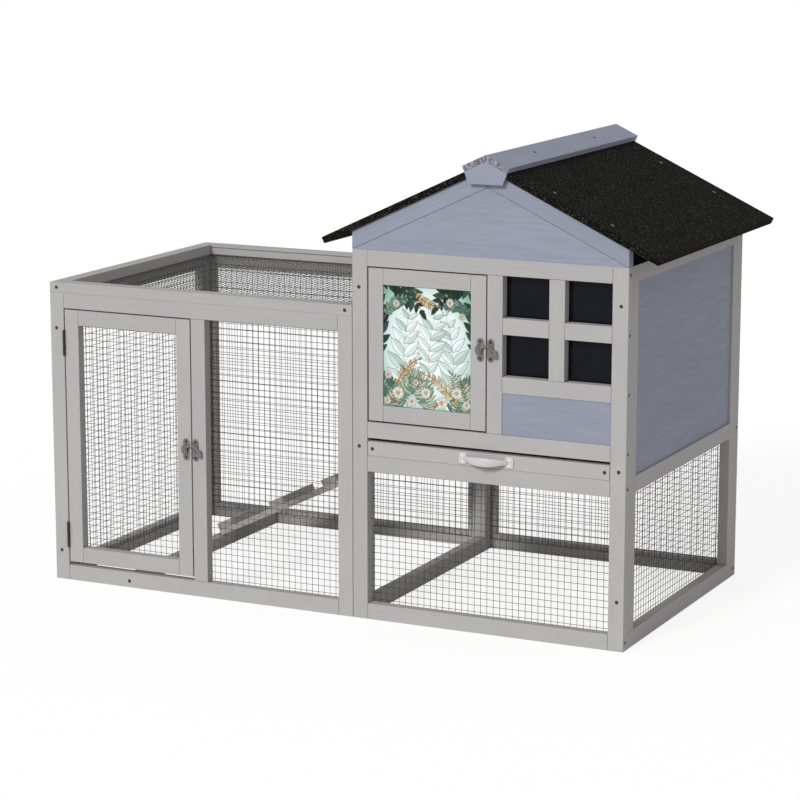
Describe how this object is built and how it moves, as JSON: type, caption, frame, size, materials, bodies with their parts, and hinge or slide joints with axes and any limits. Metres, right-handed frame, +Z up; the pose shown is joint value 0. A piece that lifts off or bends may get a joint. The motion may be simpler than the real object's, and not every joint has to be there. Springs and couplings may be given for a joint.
{
  "type": "rabbit cage",
  "caption": "Wooden rabbit cage: gabled house on legs with a pull-out tray, joined to a wire mesh run with a ramp, with hinged doors held by turning hooks.",
  "frame": {"origin": "centre of the bounding box, on the ground", "axes": "+X along the cage from the run's end towards the house, +Y from the front to the back, +Z up"},
  "size_m": [1.262, 0.644, 0.8845],
  "materials": {
    "washed_fir": "light grey wash over fir, matte, fine grain",
    "painted_wood": "blue-grey paint over wood, matte, fine grain showing",
    "plywood": "bare plywood, matte",
    "printed_panel": "printed leaf pattern in muted greens, satin",
    "roofing_felt": "mineral-faced bitumen felt, matte",
    "wire_mesh": "dull galvanised wire",
    "zinc_plated_steel": "dull zinc plate",
    "dark_steel": "dull dark-coated steel",
    "brown_screws": "brown-coated steel",
    "pale_plastic": "satin",
    "dark_pane": "dark acrylic, glossy"
  },
  "bodies": {
    "cage": {"run_front_frame": "washed_fir", "run_left_frame": "washed_fir", "run_rear_frame": "washed_fir", "run_top_frame": "washed_fir", "run_floor_bar": "washed_fir", "run_front_net": "wire_mesh", "run_left_net": "wire_mesh", "run_rear_net": "wire_mesh", "run_top_net": "wire_mesh", "house_front_frame": "washed_fir", "window_bars": "washed_fir", "window_pane": "dark_pane", "front_panel": "painted_wood", "house_right_frame": "washed_fir", "right_panel": "painted_wood", "house_left_frame": "washed_fir", "left_panel": "painted_wood", "house_rear_frame": "washed_fir", "rear_panel": "painted_wood", "house_front_net": "wire_mesh", "house_right_net": "wire_mesh", "house_rear_net": "wire_mesh", "tray_runners": "washed_fir", "front_gable": "painted_wood", "rear_gable": "painted_wood", "front_bargeboards": "painted_wood", "rear_bargeboards": "painted_wood", "roof_board_left": "plywood", "roof_board_right": "plywood", "roof_felt_left": "roofing_felt", "roof_felt_right": "roofing_felt", "ridge_board_left": "painted_wood", "ridge_board_right": "painted_wood", "ridge_end_plates": "painted_wood", "ramp_plank": "washed_fir", "ramp_cleats": "washed_fir", "frame_screws": "brown_screws", "ridge_screws": "brown_screws", "felt_nails": "zinc_plated_steel", "hinge_post_leaves": "dark_steel", "hinge_pins": "dark_steel", "house_door_pivots": "zinc_plated_steel", "latch_keepers": "zinc_plated_steel", "keeper_screws": "brown_screws"},
    "run_door": {"run_door_frame": "washed_fir", "run_door_net": "wire_mesh", "hinge_door_leaves": "dark_steel", "run_latch_plate": "zinc_plated_steel", "run_latch_screws": "brown_screws"},
    "run_hook": {"run_latch_hook": "zinc_plated_steel"},
    "house_door": {"house_door_frame": "washed_fir", "door_picture_panel": "printed_panel", "house_latch_plate": "zinc_plated_steel", "house_latch_screws": "brown_screws"},
    "house_hook": {"house_latch_hook": "zinc_plated_steel"},
    "tray": {"tray_front": "washed_fir", "tray_box": "washed_fir", "tray_floor": "plywood", "tray_handle": "pale_plastic", "tray_screws": "brown_screws"}
  },
  "joints": [
    {"name": "run_door_hinge", "type": "hinge", "parent": "cage", "child": "run_door", "pos_m": [-0.599, -0.3028, 0.2867], "axis": [0, 0, -1], "range_deg": [0, 160]},
    {"name": "run_hook_pivot", "type": "hinge", "parent": "run_door", "child": "run_hook", "pos_m": [-0.33175, -0.30365, 0.2888], "axis": [0, -1, 0], "range_deg": [0, 100]},
    {"name": "house_door_hinge", "type": "hinge", "parent": "cage", "child": "house_door", "pos_m": [0.06375, -0.2965, 0.5235], "axis": [0, 0, -1], "range_deg": [0, 105]},
    {"name": "house_hook_pivot", "type": "hinge", "parent": "house_door", "child": "house_hook", "pos_m": [0.28375, -0.30365, 0.5308], "axis": [0, -1, 0], "range_deg": [0, 100]},
    {"name": "tray_slide", "type": "slide", "parent": "cage", "child": "tray", "axis": [0, -1, 0], "range_m": [0, 0.45]}
  ]
}
